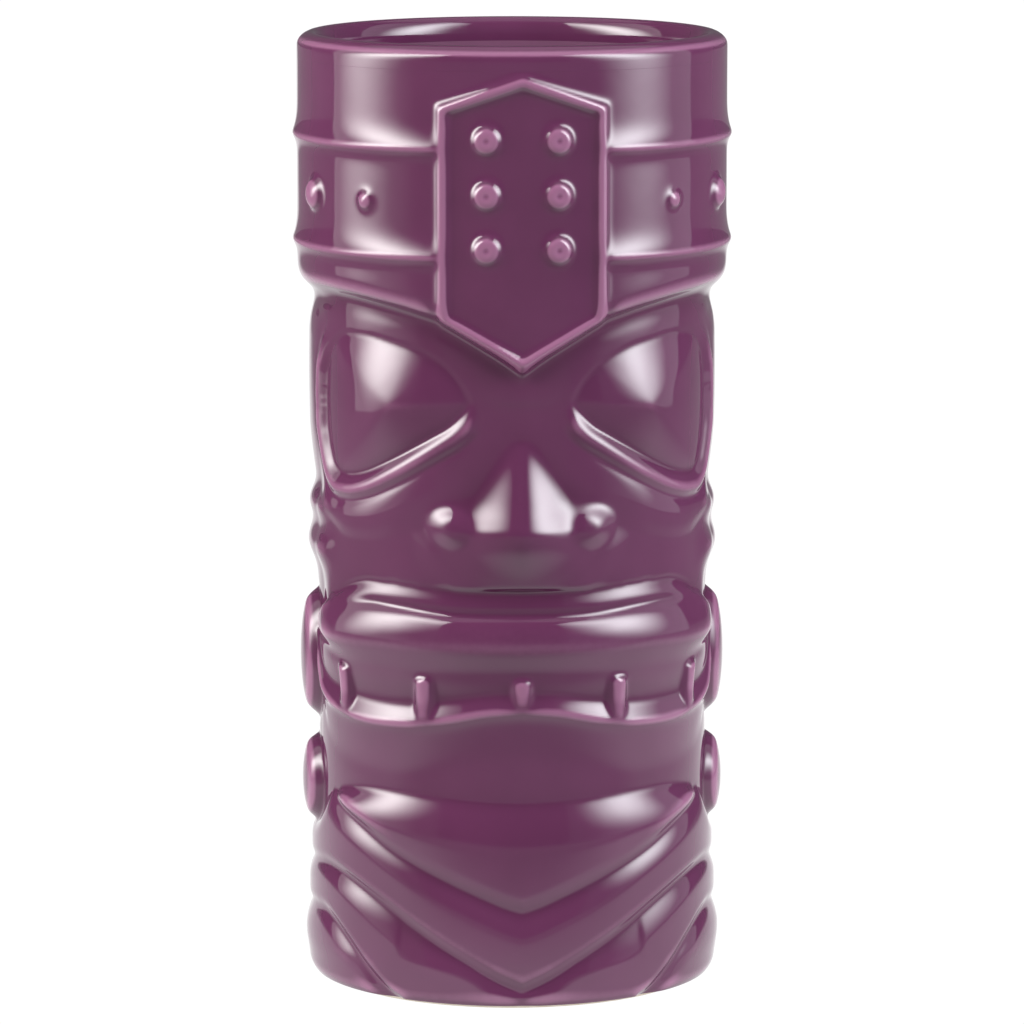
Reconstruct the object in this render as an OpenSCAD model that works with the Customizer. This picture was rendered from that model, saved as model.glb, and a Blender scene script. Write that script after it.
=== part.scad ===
// Tiki mug: a tall slip-cast cup whose outside is a carved-looking tiki face.
// The face looks along -Y, +Z is up and the mug stands on z = 0 with its axis on Z.
// Every piece of relief is a slab that seats on the cup wall and meets its neighbours edge to edge.

/* [Cup] */
// Height from the table to the top of the rim
mug_height = 157; // [135:1:190]
// Diameter of the crown just under the rim
rim_diameter = 70.7; // [62:0.1:86]
// Thickness of the cup at the rim, glaze included
rim_wall = 4.2; // [3.4:0.1:5.2]
// How far the face stands in behind the crown
face_step = 2.1; // [1.6:0.1:2.6]
// Thickness of the wall behind the face, without the relief on it
back_wall = 2.5; // [2:0.1:3.4]
// Thickness of the floor
floor_thickness = 5; // [4:0.1:8]
// Thickness of the glaze inside the cup
lining = 0.4; // [0.2:0.05:0.8]
// Height of the bare clay ring that the mug stands on
foot_height = 0.8; // [0.5:0.1:1.5]
// Diameter of the ring that touches the table
foot_diameter = 61.2; // [52:0.1:64]

/* [Crown] */
// How far the two ridges of the headband stand out
ridge_out = 0.65; // [0.3:0.05:1.2]
// Height of each ridge, from valley to valley
ridge_width = 6; // [4:0.1:8]
// Half angle of the plaque on the brow
plaque_angle = 22.3; // [18:0.1:26]
// Width of the raised frame round the plaque
frame_width = 1.5; // [1:0.1:2.5]
// How far the frame stands out from the crown
frame_out = 0.8; // [0.4:0.1:1.4]
// How far the plaque's panel is sunk behind the crown
panel_sink = 0.35; // [0.1:0.05:0.7]
// Diameter of the six studs on the plaque
plaque_stud = 5; // [3:0.1:6]
// Diameter of the large studs on the headband
large_stud = 5.8; // [4:0.1:7]
// Diameter of the small studs on the headband
small_stud = 3.2; // [2:0.1:4.5]
// How far a stud stands out, as a share of its diameter
stud_rise = 0.3; // [0.2:0.01:0.45]

/* [Face] */
// How far the brow ridge stands out
brow_out = 1; // [0.5:0.1:1.8]
// How far the eyeball stands out at its crease
eye_out = 1.7; // [0.8:0.1:2.4]
// How far the lids round the eye stand out
lid_out = 0.9; // [0.4:0.1:1.5]
// How far the cheek rolls stand out
cheek_out = 0.9; // [0.4:0.1:1.5]
// How far the nose stands out
nose_out = 3.3; // [1.5:0.1:4]
// How far the lips stand out
lip_out = 2.6; // [1.2:0.1:3.4]
// How far the bars between the teeth stand out
tooth_bar_out = 1.1; // [0.6:0.1:1.6]
// Width of the bars between the teeth
tooth_bar = 2.4; // [1.4:0.1:3.4]
// How far the chin stands out
chin_out = 1.8; // [0.8:0.1:2.6]
// How far each row of the beard stands out
beard_out = 1; // [0.5:0.1:1.6]

/* [Ears] */
// Width of the large plug in the ear
plug_width = 15.5; // [12:0.1:18]
// Height of the large plug in the ear
plug_height = 21; // [17:0.1:23]
// How far the plug stands out
plug_out = 3; // [1.5:0.1:3.6]
// Diameter of the round drop under the plug
drop_diameter = 14.4; // [10:0.1:15]
// How far the drop stands out
drop_out = 2.7; // [1.2:0.1:3.4]
// How far the two rolls of the ear stand out
roll_out = 1.3; // [0.6:0.1:2]

/* [Hidden] */
$fn = 96;

// The height that the carving was laid out at; other heights stretch the layout evenly
layout_height = 157;
function lift(z) = z * mug_height / layout_height;

crown_r = rim_diameter / 2;
face_r = crown_r - face_step;
core_r = face_r - 1.7;
cavity_top_r = crown_r - rim_wall;
cavity_low_r = core_r - back_wall;
crown_core_r = crown_r - 1.4;
foot_r = foot_diameter / 2;
shoulder_z = lift(119.5);
rim_z = mug_height - 4;
hem_z = lift(116.6);
floor_z = foot_height + floor_thickness;
drop_z = lift(25.6) + drop_diameter / 2;
side_a = 76;
step_a = 4;
clay = [0.86, 0.80, 0.72];
glaze = [0.44, 0.29, 0.39];
dark_glaze = [0.33, 0.17, 0.27];
pink_glaze = [0.68, 0.47, 0.61];

// Edges of the carving: angle from the middle of the face, height on the layout
crown_edge = [
  [0, 104.9], [10, 109.3], [20, 112.6], [30, 114.5], [40, 115.6], [50, 116.3], [60, 116.6], [90, 116.6]
];
eye_top = [
  [14, 99.4], [20, 104.6], [30, 107.8], [40, 109.2], [50, 109.8], [60, 109.2], [66, 106.6], [70, 98.5]
];
eye_low = [[14, 99.4], [20, 96], [30, 92.4], [40, 89.3], [50, 86.9], [60, 86.2], [66, 88.6], [70, 98.5]];
eye_fold = [[14, 99.4], [34, 99.3], [40, 98.8], [50, 97.1], [60, 95.4], [70, 98.5]];
lid_low = [
  [14, 99.4], [20, 92.8], [30, 88.7], [40, 85.6], [50, 83.2], [60, 82.6], [68, 84.6], [72, 89.5], [74, 98.5],
  [90, 98.5]
];
cheek_low = [[24, 80], [30, 78.6], [40, 76.6], [50, 75.6], [60, 76.4], [70, 80], [90, 83]];
nose_top = [[0, 92.5], [2, 91.4], [4, 89], [8, 85.2], [12, 82.8], [16, 82.4], [20, 82], [24, 80]];
nose_low = [[0, 77], [8, 77.2], [16, 77.8], [20, 78.4], [24, 80]];
muzzle_low = [[0, 66], [8, 67.4], [16, 70.4], [24, 74.6], [28, 79]];
lip_top = [[0, 66], [50, 66.2], [60, 65.4], [68, 63.6], [76, 59]];
mouth_top = [[0, 55], [60, 55.2], [68, 56.8], [76, 59]];
mouth_low = [
  [0, 49.2], [10, 48.8], [20, 47.6], [30, 46.4], [40, 46], [50, 46.3], [60, 47], [68, 48.4], [72, 50.6], [76, 59]
];
jaw_top = [[0, 44], [60, 43.6], [68, 43.4], [76, 43]];
jaw_low = [[0, 33.7], [60, 33.7], [68, 32.4], [76, 26.4]];
chin_low = [[0, 16.6], [10, 18.6], [20, 20.8], [30, 23.2], [40, 25.8], [50, 28.7], [60, 31.2], [68, 32.4]];
beard_a = [
  [0, 3.4], [10, 6.3], [20, 9.4], [30, 12.6], [40, 16], [50, 18.5], [60, 20.1], [68, 20.2], [76, 19.4]
];
beard_b = [[36, 1], [44, 3.4], [50, 6.5], [60, 10.6], [68, 12.4], [76, 11.9]];

function edge(table, a) = lift(lookup(abs(a), table));
function ramp(a0, a1, a) = min(1, max(0, (a - a0) / (a1 - a0)));
function mix(p, q, t) = p + (q - p) * t;
// A roll that is sharp at both edges and highest at the share top of the way up
function roll(t, top) = t < top ? sin(90 * t / top) : cos(90 * (t - top) / (1 - top));
// A soft swelling that leaves both edges level
function swell(t, top) =
  t < top ? 0.5 - 0.5 * cos(180 * t / top) : 0.5 + 0.5 * cos(180 * (t - top) / (1 - top));
function point(a, r, z) = [r * sin(a), -r * cos(a), z];
function steps(a0, a1, step) = [for (i = [0 : round((a1 - a0) / step)]) a0 + i * step];
function reach(r) = r / cos(step_a / 2);

// A closed slab that seats on a cylinder of radius core and whose outside follows skin(angle, share, z)
module slab(angles, low, high, skin, rows, core) {
  count = len(angles);
  size = rows + 3;
  shut = [for (a = angles) high(a) - low(a) < 0.01];
  points = [
    for (a = angles) each concat(
      [for (j = [0 : rows]) let (z = mix(low(a), high(a), j / rows)) point(a, skin(a, j / rows, z), z)],
      [point(a, core, low(a)), point(a, core, high(a))]
    )
  ];
  function outer(i, j) = i * size + (shut[i] ? 0 : j);
  function inner(i, j) = i * size + rows + 1 + (shut[i] ? 0 : j);
  quads = concat(
    [
      for (i = [0 : count - 2]) for (j = [0 : rows - 1])
        [outer(i, j), outer(i, j + 1), outer(i + 1, j + 1), outer(i + 1, j)]
    ],
    [for (i = [0 : count - 2]) [inner(i, 0), inner(i + 1, 0), inner(i + 1, 1), inner(i, 1)]],
    [for (i = [0 : count - 2]) [outer(i, 0), outer(i + 1, 0), inner(i + 1, 0), inner(i, 0)]],
    [for (i = [0 : count - 2]) [inner(i, 1), inner(i + 1, 1), outer(i + 1, rows), outer(i, rows)]]
  );
  triangles = [for (q = quads) each [[q[0], q[1], q[2]], [q[0], q[2], q[3]]]];
  kept = [for (t = triangles) if (t[0] != t[1] && t[1] != t[2] && t[2] != t[0]) t];
  first = shut[0] ? [] : [concat([inner(0, 0), inner(0, 1)], [for (j = [rows : -1 : 0]) outer(0, j)])];
  last = shut[count - 1] ? []
    : [concat([inner(count - 1, 1), inner(count - 1, 0)], [for (j = [0 : rows]) outer(count - 1, j)])];
  polyhedron(points = points, faces = concat(kept, first, last), convexity = 6);
}

// A ring, or an arc of it, of the profile given as [radius, height] points
module ring(profile, from = -180, to = 180) {
  rotate([0, 0, from - 90]) rotate_extrude(angle = to - from) polygon(profile);
}

// The opening for the plaque: a wedge of the crown with a point above and a point below
module plaque_zone(inset, r0, r1, z_add = 0) {
  half = crown_r * sin(plaque_angle) - inset;
  side = plaque_angle - inset / crown_r * 180 / PI;
  far = 2 * crown_r;
  intersection() {
    ring([[r0, lift(95)], [r1, lift(95)], [r1, mug_height], [r0, mug_height]], -side, side);
    rotate([90, 0, 0]) linear_extrude(height = far) polygon([
      [0, lift(104.1) + inset * 1.2], [half * 1.3, lift(104.1) + inset * 1.2 + (half * 1.3) * slope],
      [half * 1.3, lift(151.6) - inset * 1.1 - (half * 1.3) * top_slope], [0, lift(151.6) - inset * 1.1],
      [-half * 1.3, lift(151.6) - inset * 1.1 - (half * 1.3) * top_slope],
      [-half * 1.3, lift(104.1) + inset * 1.2 + (half * 1.3) * slope]
    ]);
  }
}
slope = lift(8.9) / (crown_r * sin(plaque_angle));
top_slope = lift(4.6) / (crown_r * sin(plaque_angle));

// A domed stud that seats on a cylinder of radius seat, facing out at an angle and a height
module stud(a, z, diameter, seat) {
  rise = diameter * stud_rise;
  half = diameter / 2;
  difference() {
    translate(point(a, seat, z)) rotate([90, 0, a]) rotate_extrude($fn = 48) polygon([
      [0, -0.6], [half, -0.6], [half, rise * 0.25], [half * 0.88, rise * 0.45], [half * 0.7, rise * 0.68],
      [half * 0.46, rise * 0.88], [half * 0.2, rise * 0.98], [0, rise]
    ]);
    translate([0, 0, z - diameter]) rotate([0, 0, a + 90]) cylinder(r = seat, h = 2 * diameter, $fn = 240);
  }
}

// Cup
cavity = [
  [0, floor_z], [cavity_low_r - 5, floor_z], [cavity_low_r - 3, floor_z + 0.5],
  [cavity_low_r - 1.2, floor_z + 1.8],
  [cavity_low_r - 0.3, floor_z + 3.6], [cavity_low_r, floor_z + 6], [cavity_low_r, lift(112)],
  [mix(cavity_low_r, cavity_top_r, 0.15), lift(114.5)], [mix(cavity_low_r, cavity_top_r, 0.5), lift(119)],
  [mix(cavity_low_r, cavity_top_r, 0.85), lift(123.5)], [cavity_top_r, lift(126)]
];
// A point of the bare clay behind the glaze that lines the cup
function lined(i) = [cavity[i][0] + (i < 2 ? 0 : lining), cavity[i][1] - (i < 2 ? lining : 0)];

module cup_wall() {
  color(clay) ring(concat(
    [for (i = [1 : len(cavity) - 1]) lined(i)],
    [
      [cavity_top_r + lining, rim_z], [crown_core_r, rim_z], [crown_core_r, shoulder_z], [core_r, shoulder_z],
      [core_r, foot_height], [foot_r - 3.5, foot_height]
    ]
  ));
}

module cup_floor() {
  color(clay) ring([
    [0, foot_height + 1], [foot_r - 4.2, foot_height + 1], [foot_r - 3.5, foot_height],
    [cavity[1][0], cavity[1][1] - lining], [0, floor_z - lining]
  ]);
}

module inner_glaze() {
  outside = concat(
    [[0, floor_z - lining]], [for (i = [1 : len(cavity) - 1]) lined(i)], [[cavity_top_r + lining, rim_z]]
  );
  inside = concat([[cavity_top_r, rim_z]], [for (i = [len(cavity) - 1 : -1 : 0]) cavity[i]]);
  color(dark_glaze) ring(concat(outside, inside));
}

module foot_ring() {
  color(clay)
    ring([[foot_r - 3.5, 0], [foot_r, 0], [foot_r + 0.6, foot_height], [foot_r - 3.5, foot_height]]);
}

module rim() {
  round_out = 1.6;
  color(pink_glaze) ring([
    [cavity_top_r, rim_z], [crown_r, rim_z], [crown_r, mug_height - round_out],
    [crown_r - 0.3, mug_height - 0.8],
    [crown_r - 0.9, mug_height - 0.25], [crown_r - 2, mug_height], [cavity_top_r + 1.2, mug_height - 0.2],
    [cavity_top_r + 0.35, mug_height - 0.8], [cavity_top_r, mug_height - 1.8]
  ]);
}

// Crown
module crown_wall() {
  color(glaze) difference() {
    union() {
      ring([[crown_core_r, shoulder_z], [crown_r, shoulder_z], [crown_r, rim_z], [crown_core_r, rim_z]]);
      ring([
        [core_r, hem_z], [crown_r - 2.2, hem_z], [crown_r - 0.8, hem_z + 0.5], [crown_r, hem_z + 1.8],
        [crown_r, shoulder_z], [core_r, shoulder_z]
      ], side_a, 360 - side_a);
    }
    plaque_zone(0, core_r - 1, crown_r + 4);
  }
}

module headband_ridge(z) {
  half = ridge_width / 2;
  color(pink_glaze) difference() {
    ring([
      [crown_r, z - half], [crown_r + ridge_out * 0.3, z - half * 0.4],
      [crown_r + ridge_out * 0.9, z - half * 0.12],
      [crown_r + ridge_out, z], [crown_r + ridge_out * 0.9, z + half * 0.12],
      [crown_r + ridge_out * 0.3, z + half * 0.4], [crown_r, z + half]
    ]);
    plaque_zone(0, core_r - 1, crown_r + 4);
  }
}

module upper_ridge() {
  headband_ridge(lift(140.4));
}

module lower_ridge() {
  headband_ridge(lift(123));
}

module crown_hem(side) {
  low = function(a) edge(crown_edge, a);
  high = function(a) shoulder_z;
  skin = function(a, t, z) crown_r - 2.4 * (1 - ramp(0, 2.6, z - edge(crown_edge, a))) ^ 2.2;
  outward = concat([plaque_angle], steps(24, side_a, step_a));
  angles = side > 0 ? outward : [for (i = [len(outward) - 1 : -1 : 0]) -outward[i]];
  color(glaze) slab(angles, low, high, skin, 6, reach(core_r));
}

module crown_hem_left() {
  crown_hem(-1);
}

module crown_hem_right() {
  crown_hem(1);
}

// The crown's thickness inside the plaque's opening, down to the cup wall
module plaque_stock(inset, r) {
  difference() {
    plaque_zone(inset, core_r, r);
    ring([
      [core_r - 1, shoulder_z], [crown_core_r, shoulder_z], [crown_core_r, mug_height], [core_r - 1, mug_height]
    ]);
  }
}

module plaque_panel() {
  color(dark_glaze) plaque_stock(frame_width, crown_r - panel_sink);
}

module plaque_frame() {
  color(pink_glaze) difference() {
    plaque_stock(0, crown_r + frame_out);
    plaque_zone(frame_width, core_r - 1, crown_r + 4);
  }
}

module plaque_studs() {
  color(pink_glaze)
    for (a = [-9.4, 9.4], z = [124.5, 133.2, 142]) stud(a, lift(z), plaque_stud, crown_r - panel_sink);
}

module large_studs() {
  color(pink_glaze) for (a = [67, 113, 247, 293]) stud(a, lift(131.7), large_stud, crown_r);
}

module small_studs() {
  color(pink_glaze) for (a = [44.4, 135.6, 224.4, 315.6]) stud(a, lift(131.7), small_stud, crown_r);
}

// Face
function brow_floor(a) = abs(a) < 14 ? lift(99.4) : abs(a) > 70 ? lift(98.5) : edge(eye_top, a);

module brow() {
  low = function(a) brow_floor(a);
  high = function(a)
    abs(a) > plaque_angle ? edge(crown_edge, a)
      : min(edge(crown_edge, a), lift(104.1) + slope * core_r * sin(abs(a)));
  skin = function(a, t, z) let (down = edge(crown_edge, a) - z)
    down < lift(2.4) ? face_r - 0.6 + (brow_out + 0.2) * swell(down / lift(2.4), 1)
    : face_r - 0.4 + brow_out * (1 - 0.7 * ramp(lift(2.4), lift(7), down)) * (1 - 0.5 * ramp(66, 76, abs(a)));
  color(glaze) slab(steps(-side_a, side_a, step_a), low, high, skin, 7, reach(core_r));
}

module eye(side) {
  low = function(a) edge(eye_low, a);
  high = function(a) edge(eye_top, a);
  skin = function(a, t, z)
    let (fold = edge(eye_fold, a), top = edge(eye_top, a), foot = edge(eye_low, a))
    let (share = top - foot < 0.01 ? 0 : z > fold ? (top - z) / (top - fold) : (z - foot) / (fold - foot))
    let (along = ramp(14, 36, abs(a)) ^ 0.6 * (1 - 0.5 * ramp(56, 70, abs(a))))
    face_r - 0.5 + eye_out * min(1, share * 1.08) ^ 0.8 * along;
  angles = side > 0 ? steps(14, 70, step_a) : steps(-70, -14, step_a);
  color(glaze) slab(angles, low, high, skin, 10, reach(core_r));
}

module eye_left() {
  eye(-1);
}

module eye_right() {
  eye(1);
}

module lower_lid(side) {
  low = function(a) edge(lid_low, a);
  high = function(a) abs(a) > 70 ? lift(98.5) : edge(eye_low, a);
  skin = function(a, t, z) face_r - 0.5 + lid_out * roll(t, 0.45);
  angles = side > 0 ? steps(14, 74, step_a) : steps(-74, -14, step_a);
  color(glaze) slab(angles, low, high, skin, 4, reach(core_r));
}

module lower_lid_left() {
  lower_lid(-1);
}

module lower_lid_right() {
  lower_lid(1);
}

function lid_floor(a) = abs(a) < 14 ? lift(99.4) : edge(lid_low, a);
function cheek_floor(a) = abs(a) < 24 ? edge(nose_top, a) : edge(cheek_low, a);

module cheek(side) {
  low = function(a) cheek_floor(a);
  high = function(a) lid_floor(a);
  skin = function(a, t, z)
    face_r - 0.5 + cheek_out * ramp(20, 40, abs(a)) * roll(t, 0.5) * (1 - ramp(66, 76, abs(a)));
  angles = side > 0 ? concat([0, 2], steps(4, 76, 4)) : concat(steps(-76, -4, 4), [-2, 0]);
  color(glaze) slab(angles, low, high, skin, 6, reach(core_r));
}

module cheek_left() {
  cheek(-1);
}

module cheek_right() {
  cheek(1);
}

module nose() {
  low = function(a) edge(nose_low, a);
  high = function(a) edge(nose_top, a);
  skin = function(a, t, z) let (wing = ramp(24, 14, abs(a)), bridge = ramp(14, 0, abs(a)))
    let (lower = 0.55 + 0.45 * sin(90 * t / 0.25), upper = 1 - 0.6 * (max(0, t - 0.25) / 0.75) ^ 1.3)
    face_r - 0.4 + nose_out * (0.45 * wing + 0.55 * bridge) * (t < 0.25 ? lower : upper);
  across = concat(steps(-24, -4, 4), [-2, 0, 2], steps(4, 24, 4));
  color(glaze) slab(across, low, high, skin, 8, reach(core_r));
}

module muzzle() {
  low = function(a) edge(muzzle_low, a);
  high = function(a) abs(a) < 24 ? edge(nose_low, a) : abs(a) < 26 ? lift(80) : lift(79);
  skin = function(a, t, z) face_r - 0.3 + 0.8 * swell(t, 0.45) * ramp(28, 10, abs(a));
  color(glaze) slab(steps(-28, 28, step_a), low, high, skin, 5, reach(core_r));
}

module jowl(side) {
  low = function(a) edge(lip_top, a);
  high = function(a) abs(a) < 28 ? edge(muzzle_low, a) : edge(cheek_low, a);
  skin = function(a, t, z) face_r - 0.5 + 0.9 * ramp(0.35, 0, t) * ramp(76, 56, abs(a))
    + roll_out * 0.8 * ramp(60, 70, abs(a)) * swell(ramp(70.2, 75.8, z * layout_height / mug_height), 0.5);
  angles = side > 0 ? steps(0, side_a, step_a) : steps(-side_a, 0, step_a);
  color(glaze) slab(angles, low, high, skin, 6, reach(core_r));
}

module jowl_left() {
  jowl(-1);
}

module jowl_right() {
  jowl(1);
}

module upper_lip() {
  low = function(a) edge(mouth_top, a);
  high = function(a) edge(lip_top, a);
  skin = function(a, t, z)
    let (across = t < 0.5 ? 0.25 + 0.75 * sin(90 * t / 0.5) : cos(90 * (t - 0.5) / 0.5))
    face_r - 0.6 + lip_out * across * ramp(76, 60, abs(a)) ^ 0.6;
  color(glaze) slab(steps(-side_a, side_a, step_a), low, high, skin, 6, reach(core_r));
}

teeth_r = face_r - 1;

module teeth() {
  low = function(a) edge(mouth_low, a);
  high = function(a) edge(mouth_top, a);
  skin = function(a, t, z) teeth_r;
  color(dark_glaze) slab(steps(-side_a, side_a, step_a), low, high, skin, 2, reach(core_r));
}

module tooth_bars() {
  half = tooth_bar / face_r * 90 / PI;
  color(pink_glaze) for (a = [-72, -56, -28, 0, 28, 56, 72]) {
    low = function(b) edge(mouth_low, a) + lift(0.2);
    high = function(b) edge(mouth_top, a) - lift(0.3);
    skin = function(b, t, z) teeth_r + 0.05 + tooth_bar_out * cos(75 * (b - a) / half) * roll(t, 0.4) ^ 0.4;
    slab([a - half, a, a + half], low, high, skin, 4, teeth_r);
  }
}

module lower_lip() {
  low = function(a) edge(jaw_top, a);
  high = function(a) edge(mouth_low, a);
  skin = function(a, t, z) let (down = high(a) - z)
    face_r - 1.2 + (lip_out * 0.45) * ramp(lift(5), 0, down) ^ 1.5 * ramp(78, 66, abs(a));
  color(glaze) slab(steps(-side_a, side_a, step_a), low, high, skin, 5, reach(core_r));
}

module jaw() {
  low = function(a) edge(jaw_low, a);
  high = function(a) edge(jaw_top, a);
  skin = function(a, t, z) face_r - 1.15;
  color(glaze) slab(steps(-side_a, side_a, step_a), low, high, skin, 3, reach(core_r));
}

module chin() {
  low = function(a) edge(chin_low, a);
  high = function(a) edge(jaw_low, a);
  skin = function(a, t, z)
    let (across = t > 0.5 ? cos(90 * (t - 0.5) / 0.5) : t < 0.12 ? 0.6 + 0.4 * t / 0.12 : 1)
    face_r - 1.15 + chin_out * across * ramp(68, 50, abs(a)) ^ 0.7;
  color(glaze) slab(steps(-68, 68, step_a), low, high, skin, 7, reach(core_r));
}

module beard_row(high_of, low_of, from, to, inner_r, outer_r) {
  skin = function(a, t, z)
    let (across = t < 0.4 ? 0.15 + 0.85 * sin(90 * t / 0.4) : cos(90 * (t - 0.4) / 0.6))
    mix(inner_r, outer_r, 1 - t) + beard_out * across * ramp(80, 56, abs(a));
  color(glaze) slab(steps(from, to, step_a), low_of, high_of, skin, 7, reach(core_r));
}

module beard_upper() {
  high = function(a) abs(a) < 68 ? edge(chin_low, a) : edge(jaw_low, a);
  low = function(a) edge(beard_a, a);
  beard_row(high, low, -side_a, side_a, face_r - 0.5, face_r - 0.3);
}

// The lowest rows run down to the foot, where they round under to the bare ring
function hem_round(z, r) = r - 1.3 * (1 - ramp(0, lift(4.4), z - foot_height)) ^ 2.4;

module beard_middle() {
  high = function(a) edge(beard_a, a);
  low = function(a) abs(a) < 37 ? foot_height : edge(beard_b, a);
  skin = function(a, t, z)
    let (across = t < 0.4 ? 0.3 + 0.7 * sin(90 * t / 0.4) : cos(90 * (t - 0.4) / 0.6))
    hem_round(z, face_r + beard_out * across * ramp(84, 56, abs(a)));
  color(glaze) slab(steps(-side_a, side_a, step_a), low, high, skin, 7, reach(core_r));
}

module beard_lower(side) {
  low = function(a) foot_height;
  high = function(a) abs(a) < 37 ? foot_height : edge(beard_b, a);
  skin = function(a, t, z)
    hem_round(z, face_r + 0.2 + beard_out * (t < 0.55 ? 1 : cos(90 * (t - 0.55) / 0.45)));
  angles = side > 0 ? steps(36, side_a, step_a) : steps(-side_a, -36, step_a);
  color(glaze) slab(angles, low, high, skin, 7, reach(core_r));
}

module beard_lower_left() {
  beard_lower(-1);
}

module beard_lower_right() {
  beard_lower(1);
}

// Back of the head and ears
module head_back() {
  low_r = face_r - 1.15;
  color(glaze) ring([
    [core_r, lift(26.4)], [low_r, lift(26.4)], [low_r, lift(67)], [face_r - 1, lift(78)],
    [face_r - 0.9, lift(83)],
    [face_r - 0.3, lift(89)], [face_r + 0.2, lift(94.5)], [face_r + 0.25, lift(107)], [face_r, lift(110.5)],
    [face_r - 0.65, lift(113.5)], [face_r - 0.4, lift(115)], [crown_r - 2.2, hem_z], [core_r, hem_z]
  ], side_a, 360 - side_a);
}

module nape_upper() {
  color(glaze) ring([
    [core_r, lift(19.4)], [face_r - 0.3, lift(19.4)], [face_r + 0.1, lift(20.6)], [face_r + 0.15, lift(22)],
    [face_r - 0.1, lift(24.6)], [face_r - 0.6, lift(26)], [face_r - 1.15, lift(26.4)], [core_r, lift(26.4)]
  ], side_a, 360 - side_a);
}

module nape_middle() {
  color(glaze) ring([
    [core_r, lift(11.9)], [face_r + 0.1, lift(11.9)], [face_r + 0.5, lift(14)], [face_r + 0.55, lift(16)],
    [face_r + 0.25, lift(18)], [face_r - 0.3, lift(19.4)], [core_r, lift(19.4)]
  ], side_a, 360 - side_a);
}

module nape_lower() {
  color(glaze) ring([
    [core_r, foot_height], [face_r - 0.9, foot_height], [face_r + 0.1, lift(2.2)],
    [face_r + 0.6, lift(3.4)], [face_r + 0.95, lift(5)], [face_r + 1.15, lift(7.5)],
    [face_r + 0.9, lift(9.6)], [face_r + 0.1, lift(11.9)], [core_r, lift(11.9)]
  ], side_a, 360 - side_a);
}

module ear_roll(side, z, width, seat) {
  from = side > 0 ? side_a : 360 - 104;
  color(glaze) ring([
    [seat, z - width / 2], [seat + roll_out * 0.6, z - width * 0.28], [seat + roll_out, z],
    [seat + roll_out * 0.6, z + width * 0.28], [seat, z + width / 2]
  ], from, from + 28);
}

module ear_rolls(side) {
  seat = face_r - 1;
  color(glaze) difference() {
    union() {
      ear_roll(side, lift(79.8), 5.4, seat - 0.2);
      ear_roll(side, lift(73), 6.4, seat - 0.2);
    }
    ring([
      [core_r - 1, lift(60)], [face_r - 1.15, lift(60)], [face_r - 1.15, lift(67)], [face_r - 1, lift(78)],
      [face_r - 0.9, lift(83)], [core_r - 1, lift(83)]
    ]);
  }
}

module ear_rolls_left() {
  ear_rolls(-1);
}

module ear_rolls_right() {
  ear_rolls(1);
}

// A plug is cut by an upright oval from a ring that swells out of the head
module plug(side, z, width, height, out, a) {
  seat = face_r - 1.15;
  half = height / 2;
  margin = 1.06;
  color(pink_glaze) intersection() {
    ring(concat(
      [[seat, z - half * margin]],
      [for (s = [-0.9 : 0.2 : 0.9]) [seat + out * (0.3 + 0.7 * cos(90 * s)), z + half * margin * s]],
      [[seat, z + half * margin]]
    ), side * a - 32, side * a + 35);
    rotate([90, 0, side * a]) linear_extrude(height = 2 * crown_r)
      polygon([for (i = [0.5 : 39.5]) [width / 2 * cos(i * 9), z + half * sin(i * 9)]]);
  }
}

module ear_plug_left() {
  plug(-1, lift(53.9), plug_width, plug_height, plug_out, 92);
}

module ear_plug_right() {
  plug(1, lift(53.9), plug_width, plug_height, plug_out, 92);
}

module ear_drop_left() {
  plug(-1, drop_z, drop_diameter, drop_diameter, drop_out, 92);
}

module ear_drop_right() {
  plug(1, drop_z, drop_diameter, drop_diameter, drop_out, 92);
}

cup_wall();
cup_floor();
inner_glaze();
foot_ring();
rim();
crown_wall();
upper_ridge();
lower_ridge();
crown_hem_left();
crown_hem_right();
plaque_panel();
plaque_frame();
plaque_studs();
large_studs();
small_studs();
brow();
eye_left();
eye_right();
lower_lid_left();
lower_lid_right();
cheek_left();
cheek_right();
nose();
muzzle();
jowl_left();
jowl_right();
upper_lip();
teeth();
tooth_bars();
lower_lip();
jaw();
chin();
beard_upper();
beard_middle();
beard_lower_left();
beard_lower_right();
head_back();
nape_upper();
nape_middle();
nape_lower();
ear_rolls_left();
ear_rolls_right();
ear_plug_left();
ear_plug_right();
ear_drop_left();
ear_drop_right();
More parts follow.
